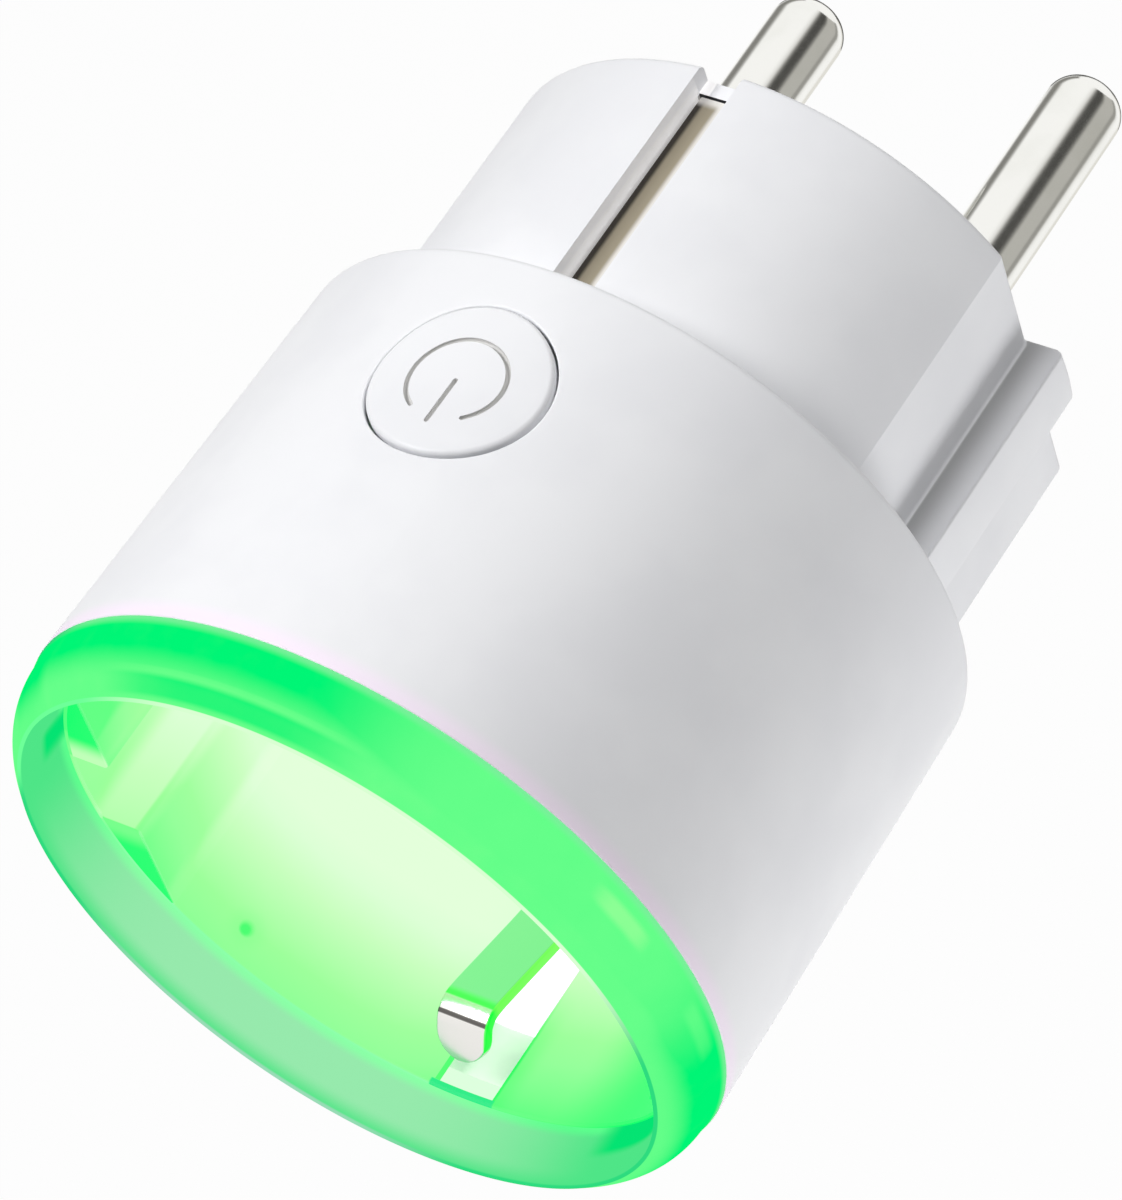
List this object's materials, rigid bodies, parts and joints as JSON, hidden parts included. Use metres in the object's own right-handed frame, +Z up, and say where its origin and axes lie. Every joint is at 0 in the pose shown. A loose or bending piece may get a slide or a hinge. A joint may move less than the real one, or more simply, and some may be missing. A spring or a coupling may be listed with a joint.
{
  "type": "plug in power meter",
  "caption": "Round plug-in power meter with a mains plug, a recessed outlet inside a lit ring, and a push button on top.",
  "frame": {"origin": "middle of the plug face that rests on the wall outlet, between the two pins", "axes": "+Y into the wall along the pins, -Y out of the lit outlet, +Z up towards the push button, pins in a row along X"},
  "size_m": [0.0446, 0.0698, 0.0446],
  "materials": {
    "housing_white": "fine satin moulded shell",
    "outlet_white": "translucent white cup, lit green by the ring",
    "light_guide": "clear diffusing ring, lit green",
    "button_white": "satin with an engraved sign",
    "nickel": "bright nickel plate on the pins",
    "earth_metal": "nickel plated spring strip",
    "contact_copper": "stamped copper alloy",
    "busbar_copper": "bare copper strip",
    "shutter_plastic": "grey white moulding",
    "spring_steel": "bright drawn wire and stamped washer",
    "board_green": "solder mask over glass laminate",
    "relay_blue": "moulded relay case",
    "bobbin_plastic": "moulded bobbin",
    "winding": "enamelled copper wire",
    "soft_iron": "plated soft iron",
    "silver_contact": "sprung strip with silver buttons",
    "tinned": "tinned pins",
    "switch_black": "black moulding",
    "flex_white": "white coated flexible circuit",
    "lamp": "clear lamp in a white case",
    "chip_black": "epoxy package",
    "module_blue": "blue solder mask",
    "shield_tin": "tinned shield can",
    "varistor_blue": "dipped coating",
    "fuse_body": "ceramic sleeve",
    "film_yellow": "boxed film capacitor",
    "can_sleeve": "shrink sleeve over an aluminium can",
    "ferrite": "sintered ferrite",
    "screw_zinc": "zinc plated"
  },
  "bodies": {
    "body": {"plug_body": "housing_white", "line_pin": "nickel", "neutral_pin": "nickel", "housing_sleeve": "housing_white", "socket_cup": "outlet_white", "light_ring": "light_guide", "upper_earth_strap": "earth_metal", "lower_earth_strap": "earth_metal", "earth_bridge": "earth_metal", "shutter_spring": "spring_steel", "shutter_retainer": "spring_steel", "line_contact": "contact_copper", "neutral_contact": "contact_copper", "main_board": "board_green", "control_board": "board_green", "relay_base": "relay_blue", "relay_cover": "relay_blue", "relay_bobbin": "bobbin_plastic", "relay_winding": "winding", "relay_core": "soft_iron", "relay_yoke": "soft_iron", "relay_fixed_contact": "silver_contact", "relay_terminals": "tinned", "switch_body": "switch_black", "led_flex": "flex_white", "led_chips": "lamp", "radio_module": "module_blue", "radio_shield": "shield_tin", "metering_chip": "chip_black", "crystal": "shield_tin", "shunt_resistor": "busbar_copper", "varistor": "varistor_blue", "fuse": "fuse_body", "film_capacitor": "film_yellow", "bulk_capacitors": "can_sleeve", "inductor": "ferrite", "inductor_winding": "winding", "converter_chip": "chip_black", "chip_resistors": "chip_black", "line_busbar": "busbar_copper", "neutral_busbar": "busbar_copper", "board_header": "contact_copper", "assembly_screws": "screw_zinc"},
    "button": {"power_button": "button_white"},
    "switch_stem": {"switch_plunger": "switch_black"},
    "shutter": {"safety_shutter": "shutter_plastic"},
    "armature": {"relay_armature": "soft_iron", "relay_moving_contact": "silver_contact"}
  },
  "joints": [
    {"name": "button_push", "type": "slide", "parent": "body", "child": "button", "axis": [0, 0, -1], "range_m": [0, 0.0005], "stiffness_N_per_m": 3000},
    {"name": "switch_push", "type": "slide", "parent": "body", "child": "switch_stem", "axis": [0, 0, -1], "range_m": [0, 0.0005]},
    {"name": "shutter_turn", "type": "hinge", "parent": "body", "child": "shutter", "pos_m": [0, -0.0304, 0], "axis": [0, -1, 0], "range_deg": [0, 36], "stiffness_Nm_per_rad": 0.004},
    {"name": "armature_pull", "type": "hinge", "parent": "body", "child": "armature", "pos_m": [0, -0.0209, 0.0027], "axis": [-1, 0, 0], "range_deg": [0, 3.5], "stiffness_Nm_per_rad": 0.01}
  ],
  "couplings": [
    {"joint": "switch_push", "follows": "button_push", "ratio": 1}
  ]
}
